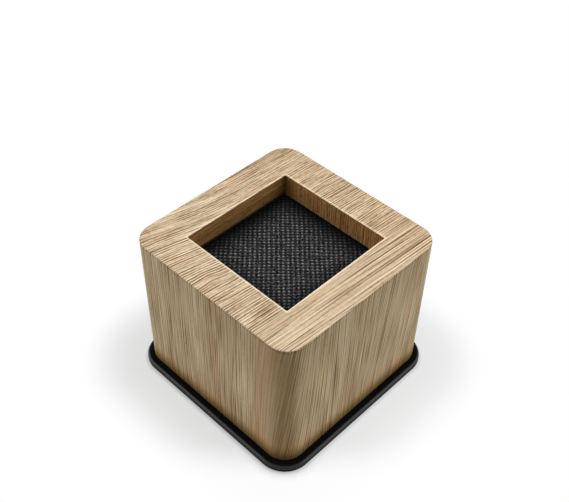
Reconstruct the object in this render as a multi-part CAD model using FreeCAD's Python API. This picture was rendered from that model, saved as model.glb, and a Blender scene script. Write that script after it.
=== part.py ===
import FreeCAD, Part
import math
import os

# Bed riser: a hardwood block with a square recess for the bed leg, a textured rubber pad lying in
# the recess and a rubber foot under the block. Millimetres, +Z up, the origin at the middle of the
# underside of the foot, so the riser stands on z = 0.

# Wood block
BLOCK_SIDE = 100.0
BLOCK_HEIGHT = 79.5
BLOCK_CORNER_RADIUS = 10.5
BLOCK_TOP_ROUND = 0.8
BLOCK_BOTTOM_BEVEL = 1.0

# Recess for the bed leg
RECESS_SIDE = 63.0
RECESS_DEPTH = 14.0
RECESS_CORNER_RADIUS = 0.6
RECESS_RIM_ROUND = 0.5

# Textured pad in the recess: diamond studs between two sets of crossing grooves
PAD_THICKNESS = 2.5
PAD_SIDE_CLEARANCE = 0.25
PAD_CORNER_RADIUS = 0.4
STUD_PITCH = 2.22
STUD_TOP_WIDTH = 0.9
STUD_HEIGHT = 0.5
GROOVE_TURN_DEG = 45.0

# Rubber foot
FOOT_THICKNESS = 4.0
FOOT_OVERHANG = 3.6
FOOT_NOSE_RADIUS = 1.8
FOOT_BOTTOM_BEVEL = 0.8

# A round or a bevel takes at most this share of the wall that carries it
EDGE_LIMIT = 0.45

UP = FreeCAD.Vector(0, 0, 1)
ORIGIN = FreeCAD.Vector(0, 0, 0)


def rounded_square(side, radius, z):
    """Face of a square with round corners, centred on the Z axis at height z."""
    half = side / 2
    inner = half - radius
    diagonal = radius * math.sqrt(0.5)
    edges = []
    for turn in range(4):
        start = FreeCAD.Vector(half, -inner, z)
        corner_start = FreeCAD.Vector(half, inner, z)
        corner_middle = FreeCAD.Vector(inner + diagonal, inner + diagonal, z)
        corner_end = FreeCAD.Vector(inner, half, z)
        side_edge = Part.LineSegment(start, corner_start).toShape()
        corner_edge = Part.Arc(corner_start, corner_middle, corner_end).toShape()
        for edge in (side_edge, corner_edge):
            edge.rotate(ORIGIN, UP, 90 * turn)
            edges.append(edge)
    return Part.Face(Part.Wire(edges))


def rounded_plate(side, radius, z, height):
    """Upright prism on a square with round corners."""
    return rounded_square(side, radius, z).extrude(UP * height)


def edges_at(shape, z, reach):
    """Edges that lie level at height z, no further than reach from the Z axis along X and Y."""
    found = []
    for edge in shape.Edges:
        box = edge.BoundBox
        level = abs(box.ZMin - z) < 1e-6 and abs(box.ZMax - z) < 1e-6
        near = max(abs(box.XMin), abs(box.XMax), abs(box.YMin), abs(box.YMax)) < reach
        if level and near:
            found.append(edge)
    return found


def wood_block():
    """Block with a square recess sunk into its top and every arris softened."""
    bottom = FOOT_THICKNESS
    top = bottom + BLOCK_HEIGHT
    rim_width = (BLOCK_SIDE - RECESS_SIDE) / 2
    top_round = min(BLOCK_TOP_ROUND, EDGE_LIMIT * rim_width)
    rim_round = min(RECESS_RIM_ROUND, EDGE_LIMIT * rim_width)
    bevel = min(BLOCK_BOTTOM_BEVEL, EDGE_LIMIT * BLOCK_CORNER_RADIUS)
    between = (RECESS_SIDE + BLOCK_SIDE) / 4
    beyond = BLOCK_SIDE

    block = rounded_plate(BLOCK_SIDE, BLOCK_CORNER_RADIUS, bottom, BLOCK_HEIGHT)
    block = block.makeFillet(top_round, edges_at(block, top, beyond))
    block = block.makeChamfer(bevel, edges_at(block, bottom, beyond))
    recess = rounded_plate(RECESS_SIDE, RECESS_CORNER_RADIUS, top - RECESS_DEPTH, RECESS_DEPTH)
    block = block.cut(recess)
    return block.makeFillet(rim_round, edges_at(block, top, between))


def groove(offset, length, top):
    """One V-groove along X at the given Y, as a solid to be taken away."""
    half_width = (STUD_PITCH - STUD_TOP_WIDTH) / 2
    above = STUD_HEIGHT
    half_above = half_width * (1 + above / STUD_HEIGHT)
    start = -length / 2
    profile = Part.makePolygon([
        FreeCAD.Vector(start, offset, top - STUD_HEIGHT),
        FreeCAD.Vector(start, offset + half_above, top + above),
        FreeCAD.Vector(start, offset - half_above, top + above),
        FreeCAD.Vector(start, offset, top - STUD_HEIGHT),
    ])
    return Part.Face(profile).extrude(FreeCAD.Vector(length, 0, 0))


def grooves(side, top, turn_deg):
    """A set of parallel grooves over the whole pad, turned about the Z axis."""
    span = side * math.sqrt(2)
    count = int(span / STUD_PITCH)
    made = []
    for index in range(count + 1):
        cut = groove((index - count / 2) * STUD_PITCH, span, top)
        cut.rotate(ORIGIN, UP, turn_deg)
        made.append(cut)
    return made


def recess_pad():
    """Pad that lies on the recess floor, with diamond studs on its upper side."""
    side = RECESS_SIDE - 2 * PAD_SIDE_CLEARANCE
    floor = FOOT_THICKNESS + BLOCK_HEIGHT - RECESS_DEPTH
    top = floor + PAD_THICKNESS
    pad = rounded_plate(side, PAD_CORNER_RADIUS, floor, PAD_THICKNESS)
    for turn_deg in (GROOVE_TURN_DEG, GROOVE_TURN_DEG + 90):
        pad = pad.cut(grooves(side, top, turn_deg))
    return pad


def foot_pad():
    """Plate under the block that stands proud of it all round, with a rounded nose and a bevel below."""
    side = BLOCK_SIDE + 2 * FOOT_OVERHANG
    radius = BLOCK_CORNER_RADIUS + FOOT_OVERHANG
    nose = min(FOOT_NOSE_RADIUS, EDGE_LIMIT * FOOT_THICKNESS)
    bevel = min(FOOT_BOTTOM_BEVEL, EDGE_LIMIT * FOOT_THICKNESS)
    foot = rounded_plate(side, radius, 0, FOOT_THICKNESS)
    foot = foot.makeFillet(nose, edges_at(foot, FOOT_THICKNESS, side))
    return foot.makeChamfer(bevel, edges_at(foot, 0, side))


def single_solid(shape):
    """The one solid that a sub-part is made of."""
    if len(shape.Solids) != 1 or not shape.Solids[0].isValid():
        raise ValueError("a sub-part isn't one sound solid")
    return shape.Solids[0]


def main():
    os.makedirs("parts", exist_ok=True)
    subparts = {
        "wood_block": wood_block(),
        "recess_pad": recess_pad(),
        "foot_pad": foot_pad(),
    }
    for name, shape in subparts.items():
        single_solid(shape).exportStep(os.path.join("parts", name + ".step"))


main()
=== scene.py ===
"""Dresses the bed riser: pale open-grained wood, a woven pad in the recess and a rubber foot."""

import math
from types import SimpleNamespace

import bpy
import numpy as np
from bpy.props import FloatProperty, FloatVectorProperty, PointerProperty
from mathutils import Matrix, Vector


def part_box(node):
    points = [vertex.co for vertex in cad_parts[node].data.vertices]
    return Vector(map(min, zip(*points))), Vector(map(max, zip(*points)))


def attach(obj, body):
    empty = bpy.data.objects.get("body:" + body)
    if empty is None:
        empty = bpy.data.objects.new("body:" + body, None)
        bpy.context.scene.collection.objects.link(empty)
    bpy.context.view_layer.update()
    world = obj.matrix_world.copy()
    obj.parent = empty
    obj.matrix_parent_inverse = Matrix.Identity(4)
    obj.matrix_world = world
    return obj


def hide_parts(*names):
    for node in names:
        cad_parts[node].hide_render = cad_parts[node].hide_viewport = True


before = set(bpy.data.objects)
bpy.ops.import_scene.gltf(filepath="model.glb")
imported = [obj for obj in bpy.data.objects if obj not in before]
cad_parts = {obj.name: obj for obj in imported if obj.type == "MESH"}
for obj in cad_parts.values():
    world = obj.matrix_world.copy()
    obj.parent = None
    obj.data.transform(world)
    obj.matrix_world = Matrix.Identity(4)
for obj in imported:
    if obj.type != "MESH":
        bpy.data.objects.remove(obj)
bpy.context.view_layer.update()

bl_info = {
    "name": "Bed Riser Looks",
    "version": (1, 0, 0),
    "blender": (4, 5, 0),
    "location": "3D View > Sidebar > Bed Riser",
    "description": "Gives the bed riser its wood, woven pad, rubber foot and studio",
    "category": "Object",
}

BODY = "root"
MM = 0.001
DIAGONAL = math.sqrt(0.5)
WHITE = (1, 1, 1, 1)

# Lengths are in millimetres here and in metres in the settings further down; colours are linear

# The block, its recess, the pad and the foot, as the frame has them
BLOCK_LOW, BLOCK_HIGH = (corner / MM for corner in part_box("wood_block"))
PAD_LOW, PAD_HIGH = (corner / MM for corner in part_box("recess_pad"))
FOOT_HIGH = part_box("foot_pad")[1] / MM
BLOCK_HALF = BLOCK_HIGH.x
BLOCK_TOP = BLOCK_HIGH.z
BLOCK_FOOT = BLOCK_LOW.z
PAD_HALF = PAD_HIGH.x
PAD_TOP = PAD_HIGH.z
FOOT_HALF = FOOT_HIGH.x
FOOT_TOP = FOOT_HIGH.z
PAD_GAP = 0.25
RECESS_HALF = PAD_HALF + PAD_GAP
CORNER_RADIUS = 10.5
CORNER_START = BLOCK_HALF - CORNER_RADIUS
ARRIS_RADIUS = 0.8
PAD_CORNER_RADIUS = 0.4

# Where one face of the block ends and the next begins
TOP_MARGIN = 0.3 * ARRIS_RADIUS
WALL_MARGIN = 0.4
LEFT_STRIP = (-42, -27)
RIGHT_STRIP = (24, 34)

# Painted highlight, a thin pale line round the mouth of the recess: place beyond the wall, reach and
# depth below the top
RIM_PLACE = 0.5
RIM_REACH = 0.8
RIM_DEPTH = 0.45

# Lean of the grain, sideways for each millimetre along it, and where the faces have more of it
FACE_LEAN = 0.01
CORNER_LEAN = 0.12
CORNER_LEAN_ZONE = (4, 26)
RIGHT_FACE_LEAN = 0.09
RIGHT_FACE_LEAN_ZONE = (66, 34)
TOP_LEAN = 0.06
FRONT_LEFT_LEAN = 0.15
FRONT_LEFT_X = (-45, 25)
FRONT_LEFT_Y = (-45, 20)

# Small knot on the front of the top that the grain bends round
KNOT_X = (-5, 9)
KNOT_Y = (-42, 7)
KNOT_BEND = 0.7

# The top and the recess walls read their noise from sheets far from that of the outer faces
TOP_SHEET = 11.0
WALL_SHEET = 23.0

# Blender's noise lies round a half; this spread brings most of it within -1 and 1
NOISE_SPREAD = 4

# Noise drawn out along the grain: width and length of its features, and its own sheet
SWAY_NOISE = (14, 90, 0)
BROAD_NOISE = (3.4, 90, 3)
PATCH_NOISE = (9, 70, 4)
DRIFT_NOISE = (4, 80, 5)
RING_NOISE = (6, 120, 6)
PORE_NOISE = (0.32, 2.6, 7)
WARM_NOISE = (4, 30, 8)
FLECK_NOISE = (0.8, 2.6, 10)
SWAY = 0.5
DRIFT = 0.4
RING_DRIFT = 0.7

# Fine noise that goes by the line spacing: length of its features and its own sheet
FIBRE_SHEET = 1
MIDDLE_SHEET = 2
BREAK_SHEET = 9
MIDDLE_LENGTH = 60
FIBRES_PER_LINE = 2.6
HAIRS_PER_LINE = 1.31
TOP_RUN = 14
MORE_RUN_OUTSIDE = 16
MORE_RUN_RIGHT_STRIP = 12

# Dark lines on a paler ground, which break where their strength falls
LINE_GROUND = 0.4
LINE_DEPTH = 1.5
LINE_REACH = 0.34
LINE_STRENGTH = 0.8
LINE_BREAKS = 0.5
STRONGEST_LINE = 1.5

# Growth rings: they darken slowly and end at once, and some are stronger than others
RING_START = 0.55
RING_PEAK = 0.90
RING_STRENGTH = 0.75
RING_CHANGE = 0.6
RING_LIMITS = (0.1, 1.4)
RING_TONE = 0.75
RIGHT_STRIP_TONE = 0.2

# Open pores, most of them where the fibres are dark
PORE_RANGE = (0.55, 1.1)
PORE_FIBRE = 0.5
PORE_LIMITS = (0.1, 1)
PORE_DETAIL = 0.0
PORE_SHARE = 0.5

# Shares of the grain's layers on the top's front and back, its left, its right, the outer faces
# and the recess walls
GRAIN_SHARES = {
    "wave": (0.65, 0.42, 0.45, 0.46, 0.45),
    "hair": (0.85, 0.45, 0.45, 0.31, 0.45),
    "fibre": (0.60, 0.52, 0.45, 0.54, 0.58),
    "middle": (0.20, 0.45, 0.35, 0.20, 0.30),
    "broad": (0.10, 0.32, 0.28, 0.08, 0.15),
    "patch": (0.10, 0.16, 0.12, 0.14, 0.20),
    "fleck": (0.34, 0.32, 0.17, 0.0, 0.36),
}
CORNER_CALM = 0.65
CORNER_CALM_ZONE = (-8, 17)

# Broad streaks of the outer faces: distance from the front corner, reach, tone and redness
SIDE_STREAKS = (
    (-79.0, 5.0, 0.12, 0.0),
    (-74.0, 2.5, -0.14, 0.1),
    (-55.0, 5.0, 0.14, 0.0),
    (-42.5, 6.0, -0.16, 0.6),
    (-34.0, 2.0, 0.12, 0.0),
    (-29.0, 2.5, -0.12, 0.2),
    (-23.0, 4.0, 0.18, 0.0),
    (-13.0, 8.0, -0.10, 1.0),
    (-1.0, 2.2, -0.25, 0.2),
    (28.5, 0.9, -0.70, 0.0),
    (33.0, 4.5, 0.18, 0.0),
    (43.0, 6.0, -0.05, 0.4),
    (61.0, 1.6, -0.30, 0.0),
    (67.0, 4.0, 0.18, 0.0),
    (80.0, 6.0, 0.0, 0.5),
)

# Painted highlight on the mouth of the recess, stronger on its front edges, and painted shade in the
# darker line under the top's outer arris
RIM_HIGHLIGHT_TONE = 0.8
ARRIS_SHADE_TONE = 0.35
ARRIS_SHADE_LINE = (BLOCK_TOP - 0.9, 0.9)
RIM_HIGHLIGHT_COLOUR = (0.98, 0.88, 0.72, 1)
RIM_HIGHLIGHT_SHARE = 0.1
FRONT_RIM_HIGHLIGHT_SHARE = 0.35
FRONT_RIM = (0, 20)

# Warm patches in the wood
WARM_RANGE = (0.0, 1.2)
WARM_TOP = 0.6
WARM_ELSEWHERE = 0.4
WARM_WASH = (1.03, 0.90, 0.83)

# Washes that multiply the wood's colour, with the stretch over which each comes in
BACK_STRIP_WASH = (0.97, 0.945, 0.905)
BACK_STRIP = (25, 40)
FRONT_STRIP_WASH = (0.965, 0.97, 0.96)
FRONT_STRIP = (-40, -25)
# Painted shade: the rounded front corner of the outer faces is darkened
FRONT_CORNER_SHADE_WASH = (0.86, 0.79, 0.68)
FRONT_CORNER_SHADE = (-1, 11)
# Painted shade: the outer faces darken towards the top
UPPER_FACE_SHADE_WASH = (0.87, 0.88, 0.86)
UPPER_FACE_SHADE = (45, 80)
# Painted shade on the recess walls that face along X, left out in a painted lit band a few millimetres
# below the top
X_WALL_SHADE_WASH = (0.80, 0.82, 0.88)
X_WALL_LIT_BAND = (BLOCK_TOP - 3.6, 3.0)
# Painted shade on the walls along X just above the pad
PAD_EDGE_SHADE_WASH = (0.10, 0.09, 0.06)
PAD_EDGE_SHADE = (PAD_TOP + 0.3, PAD_TOP + 1.6)
# Painted shade in the back corner of the recess
BACK_CORNER_SHADE_WASH = (0.60, 0.54, 0.42)
BACK_CORNER_SHADE = (37, 47)
LOW_WALL_WASH = (0.95, 1.05, 1.40)
LOW_WALL = (PAD_TOP, PAD_TOP + 2.4)
# Painted shade just above the foot: the wood is darker and warmer there
FOOT_SHADE_WASH = (0.27, 0.24, 0.14)
FOOT_SHADE = (BLOCK_FOOT + 0.6, BLOCK_FOOT + 12)
FOOT_SHADE_WARMTH_WASH = (1.0, 0.86, 0.68)
FOOT_SHADE_WARMTH = (BLOCK_FOOT + 2, BLOCK_FOOT + 22)

# Surface of the wood
WOOD_ROUGHNESS = 0.60
PORE_ROUGHNESS = 0.2
BAND_ROUGHNESS = 0.05
WOOD_SPECULAR = 0.12
LINE_RELIEF = 0.3
RING_RELIEF = 0.5
WOOD_RELIEF_DEPTH = 0.06
WOOD_RELIEF_STRENGTH = 0.6

# Section of a thread, as shares of the relief: its middle height, its swing and its round body
THREAD_LIFT = 0.25
THREAD_SWING = 0.25
THREAD_BODY = 0.5

# Slow bends of the threads: sway, length and start of a bend, then how far and how slowly it wanders
WARP_BEND = (0.12, 5.3, 0.0, 1.6, 7.1)
WEFT_BEND = (0.30, 6.1, 1.3, 1.8, 4.7)

# The pad's edge is pressed flat
EDGE_PRESS = 1.4
PRESSED_HEIGHT = 0.35

# Wear of the threads: sheet, size and strength of its fine and its broad patches
FINE_WEAR_SHEET = 3.0
FINE_WEAR_SIZE = 1.2
FINE_WEAR = 0.85
BROAD_WEAR_SHEET = 5.0
BROAD_WEAR_SIZE = 4
BROAD_WEAR = 0.2
FIBRES_PER_MM = 4
# Painted highlight on the crowns, in the top share of the relief
CROWN_HIGHLIGHT_DEPTH = 0.08
CROWN_HIGHLIGHT_SHARE = 0.7
CROWN_WEAR = 1.2
CROWN_FIBRE = 0.2
THREAD_SHARE = 0.5
THREAD_WEAR = 1.1
# Painted shade deep in the gaps
GAP_SHADE_SHARE = 0.9
GAP_SHADE_DEPTH = (0.1, 0.5)
WALL_SHADE = 0.97
WALL_SHADE_REACH = (0.5, 16)
WEAVE_ROUGHNESS = 0.62
WEAVE_SPECULAR = 0.02
FIBRE_ROUGHNESS = 0.1
FIBRE_RELIEF_DEPTH = 0.04
FIBRE_RELIEF_STRENGTH = 0.5

# Skin and bloom of the rubber; the ledge under the block is dull and, as painted shade, has no bloom,
# and the nose shines above its middle
SKIN_SIZE = 0.5
SKIN_DETAIL = 2.0
BLOOM_SIZE = 9
BLOOM_DETAIL = 3.0
BLOOM_HEIGHT = 4
BLOOM_SHARE = 0.5
BLOOM_CHANGE = 0.3
LEDGE = (FOOT_TOP - 0.5, FOOT_TOP - 0.05)
NOSE = (1.5, 3.1)
NOSE_COAT = 0.55
COAT_ROUGHNESS = 0.28
RUBBER_ROUGHNESS = 0.6
BLOOM_ROUGHNESS = 0.04
SKIN_ROUGHNESS = 0.02
LEDGE_ROUGHNESS = 0.2
RUBBER_SPECULAR = 0.045
SKIN_RELIEF_DEPTH = 0.015
SKIN_RELIEF_STRENGTH = 0.4

# Floor: how white it looks at the foot, and by how much more over stretches away from the foot; this
# glow that the camera sees is painted light that lightens the floor's real shadow, more towards the
# right and the front
FLOOR_HALF = 3000
FAR_AWAY = 1e6
WHITE_AT_FOOT = 0.36
WHITE_STEPS = ((0.28, 0, 2.2), (0.04, 4, 14), (0.32, 10, 36))
RIGHT_WHITE = 0.25
RIGHT_FLOOR = (-10, 30)
FRONT_WHITE = 0.9
FRONT_FLOOR = (50, 76)
FRONT_FLOOR_EDGE = (-1, 5.5)

# Camera
SENSOR_WIDTH = 36
NEAREST_SEEN = 10


class Field:
    """A socket of a finish that takes part in Python expressions: each operation adds one node."""

    def __init__(self, finish, socket):
        self.finish = finish
        self.socket = socket

    def __add__(self, other):
        return self.finish.maths("ADD", self, other)

    def __radd__(self, other):
        return self.finish.maths("ADD", other, self)

    def __sub__(self, other):
        return self.finish.maths("SUBTRACT", self, other)

    def __rsub__(self, other):
        return self.finish.maths("SUBTRACT", other, self)

    def __mul__(self, other):
        return self.finish.maths("MULTIPLY", self, other)

    def __rmul__(self, other):
        return self.finish.maths("MULTIPLY", other, self)

    def __truediv__(self, other):
        return self.finish.maths("DIVIDE", self, other)

    def __rtruediv__(self, other):
        return self.finish.maths("DIVIDE", other, self)

    def __pow__(self, other):
        return self.finish.maths("POWER", self, other)

    def __neg__(self):
        return self.finish.maths("MULTIPLY", self, -1.0)

    def __abs__(self):
        return self.finish.maths("ABSOLUTE", self)

    def clamp(self, low, high):
        """The value held between two limits."""
        return self.finish.maths("MAXIMUM", self.finish.maths("MINIMUM", self, high), low)

    def above(self, edge):
        """1 where the value is greater than the edge, else 0."""
        return self.finish.maths("GREATER_THAN", self, edge)

    def rise(self, low, high):
        """0 below low, 1 above high and a smooth step between them."""
        settings = {"interpolation_type": "SMOOTHSTEP"}
        sockets = {"Value": self, "From Min": low, "From Max": high}
        return self.finish.node("ShaderNodeMapRange", settings, sockets)

    def hump(self, centre, reach):
        """1 at the centre, falling smoothly to 0 at the given reach on either side."""
        return 1 - abs(self - centre).rise(0, reach)


class Finish:
    """The nodes of a material or a world that is being put together."""

    def __init__(self, owner):
        self.owner = owner
        owner.use_nodes = True
        self.tree = owner.node_tree
        self.tree.nodes.clear()

    def feed(self, socket, value):
        """Links a field to a socket, or sets a plain value on it."""
        if isinstance(value, Field):
            self.tree.links.new(value.socket, socket)
        else:
            socket.default_value = value

    def node(self, kind, settings=None, sockets=None, out=0):
        """Adds a node: its settings first, then what its sockets take. Returns one of its outputs."""
        node = self.tree.nodes.new(kind)
        for key, value in (settings or {}).items():
            setattr(node, key, value)
        for key, value in (sockets or {}).items():
            self.feed(node.inputs[key], value)
        return Field(self, node.outputs[out]) if node.outputs else None

    def maths(self, operation, first, second=0.0):
        """One Math node."""
        return self.node("ShaderNodeMath", {"operation": operation}, {0: first, 1: second})

    def pick(self, mask, where_off, where_on):
        """A value that is one of two by a mask."""
        return where_off + mask * (where_on - where_off)

    def tint(self, factor, first, second, blend="MIX"):
        """A colour between two colours, or their product and the like by the blend."""
        settings = {"data_type": "RGBA", "blend_type": blend}
        return self.node("ShaderNodeMix", settings, {0: factor, 6: first, 7: second}, out=2)

    def washed(self, colour, wash, share):
        """A colour multiplied by a wash, as far as the share goes."""
        return self.tint(share, colour, self.tint(1.0, colour, (*wash, 1), "MULTIPLY"))

    def place(self):
        """X, Y and Z in the part's frame, in millimetres."""
        coordinates = self.node("ShaderNodeTexCoord", out="Object")
        axes = [self.node("ShaderNodeSeparateXYZ", None, {0: coordinates}, out=axis) for axis in "XYZ"]
        return [axis / MM for axis in axes]

    def noise(self, u, v, w, detail=1.0):
        """Soft noise about 0, mostly within -1 and 1, over three fields whose unit is one feature."""
        vector = self.node("ShaderNodeCombineXYZ", None, {0: u, 1: v, 2: w})
        sockets = {"Vector": vector, "Scale": 1.0, "Detail": detail}
        raw = self.node("ShaderNodeTexNoise", {"noise_dimensions": "3D"}, sockets)
        return raw * NOISE_SPREAD - NOISE_SPREAD / 2

    def seen(self):
        """1 for what the camera sees, straight on, mirrored or through glass, else 0."""
        path = "ShaderNodeLightPath"
        straight = self.node(path, out="Is Camera Ray")
        mirrored = self.node(path, out="Is Glossy Ray")
        through = self.node(path, out="Is Transmission Ray")
        return self.maths("MAXIMUM", self.maths("MAXIMUM", straight, mirrored), through)

    def bump(self, height, depth, strength):
        """A normal from a height field of the given depth in millimetres."""
        sockets = {"Height": height, "Distance": depth * MM, "Strength": strength}
        return self.node("ShaderNodeBump", None, sockets)

    def surface(self, **sockets):
        """Ends the material in a Principled shader; names use _ for a space."""
        named = {key.replace("_", " "): value for key, value in sockets.items()}
        shader = self.node("ShaderNodeBsdfPrincipled", None, named)
        self.node("ShaderNodeOutputMaterial", None, {"Surface": shader})
        return self.owner


class WoodSettings(bpy.types.PropertyGroup):
    """What a user would change about the wood."""

    light: FloatVectorProperty(
        name="Light wood", description="Colour between the grain lines",
        subtype="COLOR", default=(0.91, 0.755, 0.55), min=0, max=1)
    middle: FloatVectorProperty(
        name="Middle wood", description="Mean colour of the wood",
        subtype="COLOR", default=(0.595, 0.447, 0.283), min=0, max=1)
    dark: FloatVectorProperty(
        name="Dark wood", description="Colour of the grain lines",
        subtype="COLOR", default=(0.17, 0.092, 0.034), min=0, max=1)
    side: FloatVectorProperty(
        name="Outer faces", description="Tint of the outer faces",
        subtype="COLOR", default=(0.985, 0.99, 0.92), min=0, max=1)
    # Partly the walls' own browner wood and partly painted shade: this tint darkens the recess walls
    # for the shade that falls in the recess
    recess: FloatVectorProperty(
        name="Recess walls", description="Tint of the cut walls of the recess",
        subtype="COLOR", default=(0.575, 0.40, 0.20), min=0, max=1)
    ring_spacing: FloatProperty(
        name="Ring spacing", description="Distance between the growth rings on the top",
        unit="LENGTH", default=2.5 * MM, min=0.5 * MM, max=20 * MM)
    line_spacing: FloatProperty(
        name="Line spacing", description="Distance between the fine grain lines",
        unit="LENGTH", default=1.45 * MM, min=0.2 * MM, max=10 * MM)


class WeaveSettings(bpy.types.PropertyGroup):
    """What a user would change about the woven pad."""

    pitch: FloatProperty(
        name="Thread pitch", description="Distance between the threads that run from front to back",
        unit="LENGTH", default=2.22 * MM, min=0.5 * MM, max=10 * MM)
    row_pitch: FloatProperty(
        name="Row pitch", description="Distance between the threads that run from side to side",
        unit="LENGTH", default=1.97 * MM, min=0.5 * MM, max=10 * MM)
    width: FloatProperty(
        name="Thread width", description="Width of a thread as a share of the pitch",
        subtype="FACTOR", default=0.90, min=0.3, max=1)
    relief: FloatProperty(
        name="Relief", description="Height from the bottom of the gaps to the crown of a thread",
        unit="LENGTH", default=0.6 * MM, min=0.1 * MM, max=2 * MM)
    step: FloatProperty(
        name="Mesh step", description="Distance between the vertices of the woven face",
        unit="LENGTH", default=0.25 * MM, min=0.1 * MM, max=1 * MM)
    # Painted highlight: this pale colour on the tops of the threads stands for the light on them
    crown_highlight: FloatVectorProperty(
        name="Crown", description="Colour of the worn tops of the threads",
        subtype="COLOR", default=(0.315, 0.32, 0.322), min=0, max=1)
    thread: FloatVectorProperty(
        name="Thread", description="Colour of the threads between their crowns",
        subtype="COLOR", default=(0.087, 0.0885, 0.0895), min=0, max=1)
    # Painted shade: this colour darkens the gaps deep between the threads and the pad near the walls,
    # and is also the dark end of the threads' wear
    gap: FloatVectorProperty(
        name="Gap", description="Colour deep between the threads",
        subtype="COLOR", default=(0.002, 0.002, 0.0021), min=0, max=1)


class FootSettings(bpy.types.PropertyGroup):
    """What a user would change about the rubber foot."""

    rubber: FloatVectorProperty(
        name="Rubber", description="Colour of the rubber",
        subtype="COLOR", default=(0.002, 0.002, 0.0021), min=0, max=1)
    bloom: FloatVectorProperty(
        name="Bloom", description="Colour of the pale bloom in the rubber's skin",
        subtype="COLOR", default=(0.009, 0.009, 0.0095), min=0, max=1)


class StageSettings(bpy.types.PropertyGroup):
    """The camera, the lamps and the floor."""

    azimuth: FloatProperty(
        name="Azimuth", description="Camera's turn about the Z axis, from the -Y side",
        subtype="ANGLE", default=math.radians(43.84))
    elevation: FloatProperty(
        name="Elevation", description="Camera's angle above the horizon",
        subtype="ANGLE", default=math.radians(44.21))
    roll: FloatProperty(
        name="Roll", description="Camera's turn about its own axis",
        subtype="ANGLE", default=math.radians(1.10))
    distance: FloatProperty(
        name="Distance", description="From the camera to the point that it looks at",
        unit="LENGTH", default=0.4523)
    aim: FloatVectorProperty(
        name="Aim", description="Point in the middle of the picture",
        subtype="TRANSLATION", default=(-0.02635, 0.02652, 0.03845))
    lens: FloatProperty(
        name="Lens", description="Focal length on a 36 mm wide sensor, in millimetres",
        unit="CAMERA", default=55.09)
    floor: FloatVectorProperty(
        name="Floor", description="Colour of the floor",
        subtype="COLOR", default=(0.40, 0.40, 0.40), min=0, max=1)
    top_light: FloatProperty(
        name="Top light", description="Brightness of the soft light overhead", default=1.98)
    side_light: FloatProperty(
        name="Side lights", description="Brightness of the soft lights at the sides", default=1.68)
    side_angle: FloatProperty(
        name="Side angle", description="Turn of the side lights from the camera's azimuth",
        subtype="ANGLE", default=math.radians(88))
    side_height: FloatProperty(
        name="Side height", description="Elevation of the side lights",
        subtype="ANGLE", default=math.radians(28))
    light_size: FloatProperty(
        name="Light size", description="Side of each soft light",
        unit="LENGTH", default=0.7)
    light_distance: FloatProperty(
        name="Light distance", description="From the block to each soft light",
        unit="LENGTH", default=0.65)
    fill: FloatProperty(
        name="Fill", description="Brightness of the light from all round", default=0.024)


def round_the_sides(wood, x, y):
    """Distance along the block's outer faces, 0 on the corner between the -Y and +X faces."""
    near_x = x.clamp(-CORNER_START, CORNER_START)
    near_y = y.clamp(-CORNER_START, CORNER_START)
    forward = (x - near_x) - (y - near_y)
    across = (x - near_x) + (y - near_y)
    turn = wood.maths("ARCTAN2", across, forward)
    run = near_x + near_y
    far_run = wood.maths("SIGN", across) * (4 * CORNER_START) - run
    return wood.pick(forward.above(0), far_run, run) + turn * CORNER_RADIUS


def grain_noise(wood, at, noise, detail=1.0):
    """Noise drawn out along the grain."""
    width, length, sheet = noise
    return wood.noise(at.grain / width, at.along / length, at.sheet + sheet, detail)


def lay_grain(wood, at):
    """Adds each point's place across and along the grain: along Y on the top, upright outside."""
    lean = FACE_LEAN + CORNER_LEAN * at.side.hump(*CORNER_LEAN_ZONE)
    lean = lean + RIGHT_FACE_LEAN * at.side.hump(*RIGHT_FACE_LEAN_ZONE)
    at.side_across = at.side - lean * (at.z - BLOCK_TOP / 2)
    front_left = (1 - at.x.rise(*FRONT_LEFT_X)) * (1 - at.y.rise(*FRONT_LEFT_Y))
    top_across = at.x - (TOP_LEAN + FRONT_LEFT_LEAN * front_left) * at.y
    wall_across = wood.pick(at.x_wall, at.x, at.z)
    wall_along = wood.pick(at.x_wall, at.z, at.y)

    at.grain = wood.pick(at.top, wood.pick(at.inside, at.side_across, wall_across), top_across)
    at.along = wood.pick(at.top, wood.pick(at.inside, at.z, wall_along), at.y)
    at.sheet = TOP_SHEET * at.top + WALL_SHEET * at.inside
    knot = at.top * at.x.hump(*KNOT_X) * at.y.hump(*KNOT_Y)
    at.grain = at.grain + grain_noise(wood, at, SWAY_NOISE) * SWAY + knot * KNOT_BEND


def wood_places(wood):
    """Which face of the block a point is on, and its place on that face and in the grain."""
    at = SimpleNamespace()
    at.x, at.y, at.z = wood.place()
    at.widest = wood.maths("MAXIMUM", abs(at.x), abs(at.y))
    at.top = at.z.above(BLOCK_TOP - TOP_MARGIN)
    at.inside = (1 - at.widest.above(RECESS_HALF + WALL_MARGIN)) * (1 - at.top)
    at.outside = (1 - at.top) * (1 - at.inside)
    at.x_wall = at.inside * (abs(at.x) - abs(at.y)).above(0)
    at.left_strip = at.top * (1 - at.x.rise(*LEFT_STRIP))
    at.right_strip = at.top * at.x.rise(*RIGHT_STRIP)
    # The rim mask carries the painted highlight round the mouth of the recess
    at.rim = at.widest.hump(RECESS_HALF + RIM_PLACE, RIM_REACH) * at.z.above(BLOCK_TOP - RIM_DEPTH)
    at.side = round_the_sides(wood, at.x, at.y)
    lay_grain(wood, at)
    return at


def grain_lines(wood, phase, strength):
    """Thin dark lines on a paler ground, one for each whole step of the phase."""
    return LINE_GROUND - LINE_DEPTH * strength * wood.maths("FRACT", phase).hump(0.5, LINE_REACH)


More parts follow.
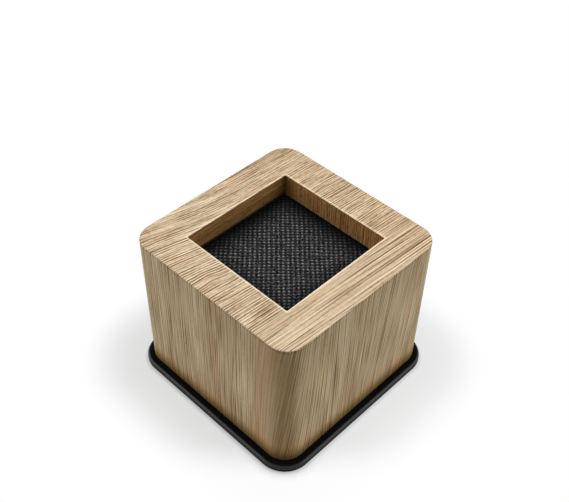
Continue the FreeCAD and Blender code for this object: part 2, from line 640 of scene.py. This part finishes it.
def grain_layers(wood, at, line):
    """The layers of the grain, from its lines to its broad patches, each about 0."""
    run = at.along / (TOP_RUN + MORE_RUN_OUTSIDE * at.outside + MORE_RUN_RIGHT_STRIP * at.right_strip)
    breaks = wood.noise(at.grain / line, run, at.sheet + BREAK_SHEET)
    strength = (LINE_STRENGTH + LINE_BREAKS * breaks).clamp(0, STRONGEST_LINE)
    drift = grain_noise(wood, at, DRIFT_NOISE) * DRIFT
    return {
        "wave": grain_lines(wood, at.grain / line + drift, strength),
        "hair": grain_lines(wood, at.grain * HAIRS_PER_LINE / line - drift, strength),
        "fibre": wood.noise(at.grain * FIBRES_PER_LINE / line, run, at.sheet + FIBRE_SHEET),
        "middle": wood.noise(at.grain / line, at.along / MIDDLE_LENGTH, at.sheet + MIDDLE_SHEET),
        "broad": grain_noise(wood, at, BROAD_NOISE),
        "patch": grain_noise(wood, at, PATCH_NOISE),
        "fleck": grain_noise(wood, at, FLECK_NOISE),
    }


def growth_rings(wood, at, ring, broad):
    """Dark rings on the right strip of the top."""
    saw = wood.maths("FRACT", at.grain / ring + grain_noise(wood, at, RING_NOISE) * RING_DRIFT)
    shape = saw.rise(RING_START, RING_PEAK) * (1 - saw.rise(RING_PEAK, 1.0))
    return shape * at.right_strip * (RING_STRENGTH + RING_CHANGE * broad).clamp(*RING_LIMITS)


def open_pores(wood, at, fibre):
    """Short dark pores along the grain."""
    pores = grain_noise(wood, at, PORE_NOISE, PORE_DETAIL).rise(*PORE_RANGE)
    return pores * (PORE_FIBRE - fibre).clamp(*PORE_LIMITS)


def side_streaks(across):
    """Tone and redness of the broad streaks of the outer faces."""
    tone = 0.0
    red = 0.0
    for place, reach, streak_tone, streak_red in SIDE_STREAKS:
        streak = across.hump(place, reach)
        tone = tone + streak * streak_tone
        if streak_red:
            red = red + streak * streak_red
    return tone, red


def grain_tone(at, layers):
    """Sum of the grain's layers, each by its share on every face."""
    outer = at.outside * (1 - CORNER_CALM * at.side.hump(*CORNER_CALM_ZONE))
    front_and_back = at.top - at.left_strip - at.right_strip
    zones = (front_and_back, at.left_strip, at.right_strip, outer, at.inside)
    tone = 0.0
    for name, shares in GRAIN_SHARES.items():
        share = 0.0
        for zone, part in zip(zones, shares):
            share = share + zone * part
        tone = tone + layers[name] * share
    return tone


def wash_outside(wood, at, colour, settings):
    """The top's strips and the outer faces, each with its own tint, with painted shade on the front
    corner and towards the top of the outer faces.
    """
    colour = wood.washed(colour, BACK_STRIP_WASH, at.top * at.y.rise(*BACK_STRIP))
    colour = wood.washed(colour, FRONT_STRIP_WASH, at.top * (1 - at.y.rise(*FRONT_STRIP)))
    colour = wood.washed(colour, settings.side, at.outside)
    # Painted shade on the rounded front corner
    colour = wood.washed(colour, FRONT_CORNER_SHADE_WASH, at.outside * at.side.hump(*FRONT_CORNER_SHADE))
    # Painted shade towards the top of the outer faces
    return wood.washed(colour, UPPER_FACE_SHADE_WASH, at.outside * at.z.rise(*UPPER_FACE_SHADE))


def wash_recess(wood, at, colour, settings):
    """The recess walls: brown, partly painted shade, with painted shade in the back corner and where
    the pad meets them, and a painted lit band on the walls along X.
    """
    to_back_corner = (at.y - at.x) * DIAGONAL
    # Partly painted shade: the recess tint darkens all the walls
    colour = wood.washed(colour, settings.recess, at.inside)
    # Painted shade on the walls along X, with a painted lit band below the top
    colour = wood.washed(colour, X_WALL_SHADE_WASH, at.x_wall * (1 - at.z.hump(*X_WALL_LIT_BAND)))
    # Painted shade where the pad meets the walls along X
    colour = wood.washed(colour, PAD_EDGE_SHADE_WASH, at.x_wall * (1 - at.z.rise(*PAD_EDGE_SHADE)))
    # Painted shade in the back corner
    colour = wood.washed(colour, BACK_CORNER_SHADE_WASH, at.inside * to_back_corner.rise(*BACK_CORNER_SHADE))
    return wood.washed(colour, LOW_WALL_WASH, at.inside * (1 - at.z.rise(*LOW_WALL)))


def shade_above_foot(wood, at, colour):
    """Painted shade: dark, warm wood just above the foot."""
    colour = wood.washed(colour, FOOT_SHADE_WASH, 1 - at.z.rise(*FOOT_SHADE))
    return wood.washed(colour, FOOT_SHADE_WARMTH_WASH, 1 - at.z.rise(*FOOT_SHADE_WARMTH))


def wood_material(settings):
    """Pale open-grained wood, with its grain along Y on the top and upright on the outer faces."""
    wood = Finish(bpy.data.materials.new("pale_wood"))
    at = wood_places(wood)
    layers = grain_layers(wood, at, settings.line_spacing / MM)
    rings = growth_rings(wood, at, settings.ring_spacing / MM, layers["broad"])
    pores = open_pores(wood, at, layers["fibre"])
    streak_tone, streak_red = side_streaks(at.side_across)

    tone = grain_tone(at, layers) - rings * RING_TONE + at.right_strip * RIGHT_STRIP_TONE
    # The rim's lighter tone is a painted highlight
    tone = tone + streak_tone * at.outside + at.rim * RIM_HIGHLIGHT_TONE
    # Painted shade: a darker line on the outer faces just under the top's arris
    tone = tone - ARRIS_SHADE_TONE * at.outside * at.z.hump(*ARRIS_SHADE_LINE)
    dark = (*settings.dark, 1)
    colour = wood.tint(tone.clamp(0, 1), (*settings.middle, 1), (*settings.light, 1))
    colour = wood.tint((-tone).clamp(0, 1), colour, dark)

    warm = grain_noise(wood, at, WARM_NOISE).rise(*WARM_RANGE)
    warm = warm * wood.pick(at.top, WARM_ELSEWHERE, WARM_TOP)
    colour = wood.washed(colour, WARM_WASH, (warm + streak_red * at.outside).clamp(0, 1))
    colour = wood.tint(pores * PORE_SHARE, colour, dark)
    # Painted highlight on the mouth of the recess, stronger on its front edges
    rim_highlight_share = at.rim * (RIM_HIGHLIGHT_SHARE + FRONT_RIM_HIGHLIGHT_SHARE * (at.x - at.y).rise(*FRONT_RIM))
    colour = wood.tint(rim_highlight_share, colour, RIM_HIGHLIGHT_COLOUR)
    colour = wash_outside(wood, at, colour, settings)
    colour = wash_recess(wood, at, colour, settings)
    colour = shade_above_foot(wood, at, colour)

    relief = (layers["wave"] + layers["fibre"]) * LINE_RELIEF - pores - rings * RING_RELIEF
    return wood.surface(
        Base_Color=colour,
        Roughness=WOOD_ROUGHNESS + pores * PORE_ROUGHNESS - layers["broad"] * BAND_ROUGHNESS,
        Specular_IOR_Level=WOOD_SPECULAR,
        Normal=wood.bump(relief, WOOD_RELIEF_DEPTH, WOOD_RELIEF_STRENGTH),
    )


def thread_heights(along, beside, half_width, flip):
    """Height of a set of round threads that swing over and under the other set."""
    row = np.floor(beside)
    offset = (beside - row - 0.5) / half_width
    swing = flip * np.where(row % 2 == 0, 1, -1) * np.sin(np.pi * along)
    body = np.sqrt(np.clip(1 - offset ** 2, 0, 1))
    height = THREAD_LIFT + THREAD_SWING * swing + THREAD_BODY * body
    return np.where(np.abs(offset) < 1, height, 0)


def bent(place, beside, bend):
    """A thread's place with a slow bend along its length."""
    sway, length, start, wander, wander_length = bend
    return place + sway * np.sin(beside / length + start + wander * np.sin(place / wander_length))


def weave_heights(settings, x, y):
    """Height of a plain weave at each point, 0 at the bottom of the gaps and 1 on the crowns."""
    half_width = settings.width / 2
    along = (x + y) * DIAGONAL
    beside = (x - y) * DIAGONAL
    warp = bent(along, beside, WARP_BEND) / (settings.pitch / MM)
    weft = bent(beside, along, WEFT_BEND) / (settings.row_pitch / MM)
    over = thread_heights(warp, weft, half_width, 1)
    under = thread_heights(weft, warp, half_width, -1)
    height = np.maximum(over, under)
    inward = PAD_HALF - np.maximum(np.abs(x), np.abs(y))
    pressed = np.clip(1 - inward / EDGE_PRESS, 0, 1) ** 2
    return height + pressed * (PRESSED_HEIGHT - height)


def round_corners(x, y, half, radius):
    """Moves a square grid's points so that its outer rings take round corners."""
    ring = np.maximum(np.abs(x), np.abs(y))
    bend = radius * np.clip((ring - half + 2 * radius) / (2 * radius), 0, 1)
    straight = ring - bend
    least = np.minimum(np.abs(x), np.abs(y))
    share = np.divide(least - straight, bend, out=np.zeros_like(bend), where=bend > 0)
    angle = np.clip(share, 0, 1) * math.pi / 4
    far = np.where(share > 0, straight + bend * np.cos(angle), ring)
    near = np.where(share > 0, straight + bend * np.sin(angle), least)
    wide = np.abs(x) >= np.abs(y)
    return np.sign(x) * np.where(wide, far, near), np.sign(y) * np.where(wide, near, far)


def woven_mesh(settings):
    """Closed mesh of the pad: the woven face, the sides and the flat underside."""
    count = int(round(2 * PAD_HALF / (settings.step / MM)))
    line = np.linspace(-PAD_HALF, PAD_HALF, count + 1)
    grid_x, grid_y = np.meshgrid(line, line)
    x, y = round_corners(grid_x, grid_y, PAD_HALF, PAD_CORNER_RADIUS)
    relief = settings.relief / MM
    z = PAD_TOP - relief * (1 - weave_heights(settings, x, y))

    index = np.arange((count + 1) ** 2).reshape(count + 1, count + 1)
    corners = [index[:-1, :-1], index[:-1, 1:], index[1:, 1:], index[1:, :-1]]
    faces = np.stack(corners, -1).reshape(-1, 4)
    rim = np.concatenate([index[0, :-1], index[:-1, -1], index[-1, :0:-1], index[:0:-1, 0]])
    top_points = np.stack([x, y, z], -1).reshape(-1, 3)
    low_points = top_points[rim] * (1, 1, 0) + (0, 0, PAD_LOW.z)
    low_rim = len(top_points) + np.arange(len(rim))
    sides = np.stack([rim, low_rim, np.roll(low_rim, -1), np.roll(rim, -1)], -1)

    mesh = bpy.data.meshes.new("woven_pad")
    points = np.concatenate([top_points, low_points]) * MM
    quads = np.concatenate([faces, sides]).tolist()
    underside = low_rim[::-1].tolist()
    mesh.from_pydata(points.tolist(), [], quads + [underside])
    mesh.validate()
    mesh.shade_smooth()
    return mesh


def weave_material(settings):
    """Charcoal threads with pale crowns and black gaps, dark where the walls crowd them: the pale
    crowns are painted highlights, the black gaps and the dark band by the walls painted shade.
    """
    weave = Finish(bpy.data.materials.new("woven_pad"))
    x, y, z = weave.place()
    gap = (*settings.gap, 1)
    depth = (PAD_TOP - z) / (settings.relief / MM)
    fibre = weave.noise(x * FIBRES_PER_MM, y * FIBRES_PER_MM, z)
    fine_wear = weave.noise((x + y) / FINE_WEAR_SIZE, x - y, FINE_WEAR_SHEET)
    broad_wear = weave.noise(x / BROAD_WEAR_SIZE, y / BROAD_WEAR_SIZE, BROAD_WEAR_SHEET)
    wear = fine_wear * FINE_WEAR + broad_wear * BROAD_WEAR

    # Painted highlight on the crowns of the threads
    crown_highlight = (1 - depth.rise(0.0, CROWN_HIGHLIGHT_DEPTH)) * (CROWN_HIGHLIGHT_SHARE + CROWN_WEAR * wear + CROWN_FIBRE * fibre)
    colour = weave.tint((THREAD_SHARE + THREAD_WEAR * wear).clamp(0, 1), gap, (*settings.thread, 1))
    # Painted shade deeper in the gaps
    colour = weave.tint(GAP_SHADE_SHARE * depth.rise(*GAP_SHADE_DEPTH), colour, gap)
    colour = weave.tint(crown_highlight.clamp(0, 1), colour, (*settings.crown_highlight, 1))
    to_wall = PAD_HALF - weave.maths("MAXIMUM", abs(x), abs(y))
    # Painted shade on the pad near the walls
    colour = weave.tint(WALL_SHADE * (1 - to_wall.rise(*WALL_SHADE_REACH)), colour, gap)
    return weave.surface(
        Base_Color=colour,
        Roughness=WEAVE_ROUGHNESS + FIBRE_ROUGHNESS * fibre,
        Specular_IOR_Level=WEAVE_SPECULAR,
        Normal=weave.bump(fibre, FIBRE_RELIEF_DEPTH, FIBRE_RELIEF_STRENGTH),
    )


def rubber_material(settings):
    """Satin black rubber with a fine skin, glossier on its nose than under the block, with painted
    shade on the ledge under the block.
    """
    rubber = Finish(bpy.data.materials.new("foot_rubber"))
    x, y, z = rubber.place()
    skin = rubber.noise(x / SKIN_SIZE, y / SKIN_SIZE, z / SKIN_SIZE, SKIN_DETAIL)
    bloom = rubber.noise(x / BLOOM_SIZE, y / BLOOM_SIZE, z / BLOOM_HEIGHT, BLOOM_DETAIL)
    ledge = z.rise(*LEDGE)
    # Painted shade: the ledge under the block gets no bloom and stays darker
    bloom_and_ledge_shade = (BLOOM_SHARE + BLOOM_CHANGE * bloom).clamp(0, 1) * (1 - ledge)
    uneven = BLOOM_ROUGHNESS * bloom + SKIN_ROUGHNESS * skin + LEDGE_ROUGHNESS * ledge
    return rubber.surface(
        Base_Color=rubber.tint(bloom_and_ledge_shade, (*settings.rubber, 1), (*settings.bloom, 1)),
        Roughness=RUBBER_ROUGHNESS + uneven,
        Specular_IOR_Level=RUBBER_SPECULAR,
        Coat_Weight=NOSE_COAT * z.rise(*NOSE) * (1 - ledge),
        Coat_Roughness=COAT_ROUGHNESS,
        Normal=rubber.bump(skin, SKIN_RELIEF_DEPTH, SKIN_RELIEF_STRENGTH),
    )


def dress(node, material):
    """Gives a node of the frame its finish."""
    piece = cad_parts[node]
    piece.data.materials.clear()
    piece.data.materials.append(material)


def floor_material(settings):
    """Pale floor that the camera sees as plain white away from the foot, with a soft shadow near it
    that painted light lightens, more towards the right and the front.
    """
    floor = Finish(bpy.data.materials.new("studio_floor"))
    x, y, z = floor.place()
    out_x = (abs(x) - CORNER_START).clamp(0, FAR_AWAY)
    out_y = (abs(y) - CORNER_START).clamp(0, FAR_AWAY)
    away = (out_x ** 2 + out_y ** 2) ** 0.5 - (FOOT_HALF - CORNER_START)
    whiten = WHITE_AT_FOOT
    for share, start, end in WHITE_STEPS:
        whiten = whiten + share * away.rise(start, end)
    # Painted light: the floor glows whiter towards the right and the front of the foot
    right = ((x + y) * DIAGONAL).rise(*RIGHT_FLOOR)
    whiten = whiten + right * RIGHT_WHITE * (1 - whiten)
    front = ((x - y) * DIAGONAL).rise(*FRONT_FLOOR)
    whiten = whiten + front * away.rise(*FRONT_FLOOR_EDGE) * FRONT_WHITE * (1 - whiten)
    lit = floor.node("ShaderNodeBsdfDiffuse", None, {"Color": (*settings.floor, 1)})
    white = floor.node("ShaderNodeEmission", None, {"Color": WHITE, "Strength": 1.0})
    shader = floor.node("ShaderNodeMixShader", None, {0: floor.seen() * whiten, 1: lit, 2: white})
    floor.node("ShaderNodeOutputMaterial", None, {"Surface": shader})
    return floor.owner


def add_floor(settings):
    """Wide pale floor under the foot."""
    half = FLOOR_HALF * MM
    corners = [(-half, -half, 0), (half, -half, 0), (half, half, 0), (-half, half, 0)]
    mesh = bpy.data.meshes.new("studio_floor")
    mesh.from_pydata(corners, [], [(0, 1, 2, 3)])
    mesh.materials.append(floor_material(settings))
    piece = bpy.data.objects.new("studio_floor", mesh)
    bpy.context.scene.collection.objects.link(piece)


def add_world(settings):
    """Even light from all round, seen by the camera as white."""
    world = Finish(bpy.data.worlds.new("studio"))
    fill = world.node("ShaderNodeBackground", None, {"Color": WHITE, "Strength": settings.fill})
    white = world.node("ShaderNodeBackground", None, {"Color": WHITE, "Strength": 1.0})
    shader = world.node("ShaderNodeMixShader", None, {0: world.seen(), 1: fill, 2: white})
    world.node("ShaderNodeOutputWorld", None, {"Surface": shader})
    bpy.context.scene.world = world.owner


def add_softbox(name, towards, settings, radiance):
    """Square soft light that faces the block from a direction."""
    size = settings.light_size
    light = bpy.data.lights.new(name, "AREA")
    light.shape = "SQUARE"
    light.size = size
    light.energy = radiance * math.pi * size ** 2
    lamp = bpy.data.objects.new(name, light)
    turn = towards.to_track_quat("Z", "Y")
    aim = Vector((0, 0, BLOCK_TOP / 2 * MM))
    place = Matrix.Translation(aim + towards * settings.light_distance)
    lamp.matrix_world = place @ turn.to_matrix().to_4x4()
    bpy.context.scene.collection.objects.link(lamp)


def direction(azimuth, elevation):
    """Unit vector at an azimuth, turned about Z from the -Y side, and an elevation."""
    level = math.cos(elevation)
    return Vector((math.sin(azimuth) * level, -math.cos(azimuth) * level, math.sin(elevation)))


def add_lights(settings):
    """One soft light overhead and one at either side, nearly square to the camera's view."""
    add_softbox("top_light", Vector((0, 0, 1)), settings, settings.top_light)
    for name, sign in (("left_light", -1), ("right_light", 1)):
        towards = direction(settings.azimuth + sign * settings.side_angle, settings.side_height)
        add_softbox(name, towards, settings, settings.side_light)


def add_camera(settings):
    """Camera at the photograph's viewing angle."""
    back = direction(settings.azimuth, settings.elevation)
    right = Vector((math.cos(settings.azimuth), math.sin(settings.azimuth), 0))
    upright = Matrix((right, back.cross(right), back)).transposed()
    camera = bpy.data.objects.new("camera", bpy.data.cameras.new("camera"))
    camera.data.sensor_width = SENSOR_WIDTH
    camera.data.lens = settings.lens
    camera.data.clip_start = NEAREST_SEEN * MM
    turned = upright @ Matrix.Rotation(settings.roll, 3, "Z")
    place = Matrix.Translation(Vector(settings.aim) + back * settings.distance)
    camera.matrix_world = place @ turned.to_4x4()
    bpy.context.scene.collection.objects.link(camera)
    bpy.context.scene.camera = camera


class RISER_OT_wood_block(bpy.types.Operator):
    """Gives the block its wood."""

    bl_idname = "riser.wood_block"
    bl_label = "Wood Block"

    def execute(self, context):
        dress("wood_block", wood_material(context.scene.riser_wood))
        return {"FINISHED"}


class RISER_OT_recess_pad(bpy.types.Operator):
    """Lays the woven pad in the recess."""

    bl_idname = "riser.recess_pad"
    bl_label = "Recess Pad"

    def execute(self, context):
        settings = context.scene.riser_weave
        mesh = woven_mesh(settings)
        mesh.materials.append(weave_material(settings))
        pad = bpy.data.objects.new("woven_pad", mesh)
        context.scene.collection.objects.link(pad)
        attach(pad, BODY)
        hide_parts("recess_pad")
        return {"FINISHED"}


class RISER_OT_foot_pad(bpy.types.Operator):
    """Gives the foot its rubber."""

    bl_idname = "riser.foot_pad"
    bl_label = "Rubber Foot"

    def execute(self, context):
        dress("foot_pad", rubber_material(context.scene.riser_foot))
        return {"FINISHED"}


class RISER_OT_stage(bpy.types.Operator):
    """Sets up the floor, the light and the camera."""

    bl_idname = "riser.stage"
    bl_label = "Studio"

    def execute(self, context):
        settings = context.scene.riser_stage
        add_floor(settings)
        add_world(settings)
        add_lights(settings)
        add_camera(settings)
        context.scene.view_settings.view_transform = "Standard"
        return {"FINISHED"}


class RISER_PT_sidebar(bpy.types.Panel):
    """Lists the riser's pieces and the studio, each with its settings."""

    bl_idname = "RISER_PT_sidebar"
    bl_label = "Bed Riser"
    bl_space_type = "VIEW_3D"
    bl_region_type = "UI"
    bl_category = "Bed Riser"

    def draw(self, context):
        for operator, (name, group) in zip(OPERATORS, SETTINGS.items()):
            box = self.layout.box()
            box.operator(operator.bl_idname)
            for key in group.__annotations__:
                box.prop(getattr(context.scene, name), key)


# Each operator stands in the same place as its settings
SETTINGS = {
    "riser_wood": WoodSettings,
    "riser_weave": WeaveSettings,
    "riser_foot": FootSettings,
    "riser_stage": StageSettings,
}
OPERATORS = (RISER_OT_wood_block, RISER_OT_recess_pad, RISER_OT_foot_pad, RISER_OT_stage)


def register():
    """Makes the settings, the operators and the panel known to Blender."""
    for name, group in SETTINGS.items():
        bpy.utils.register_class(group)
        setattr(bpy.types.Scene, name, PointerProperty(type=group))
    for operator in OPERATORS:
        bpy.utils.register_class(operator)
    bpy.utils.register_class(RISER_PT_sidebar)


def unregister():
    """Takes them out again."""
    bpy.utils.unregister_class(RISER_PT_sidebar)
    for operator in reversed(OPERATORS):
        bpy.utils.unregister_class(operator)
    for name, group in reversed(SETTINGS.items()):
        delattr(bpy.types.Scene, name)
        bpy.utils.unregister_class(group)


def main():
    """Builds every piece and the stage."""
    register()
    bpy.ops.riser.wood_block()
    bpy.ops.riser.recess_pad()
    bpy.ops.riser.foot_pad()
    bpy.ops.riser.stage()
    bpy.context.view_layer.update()


if __name__ == "__main__":
    main()
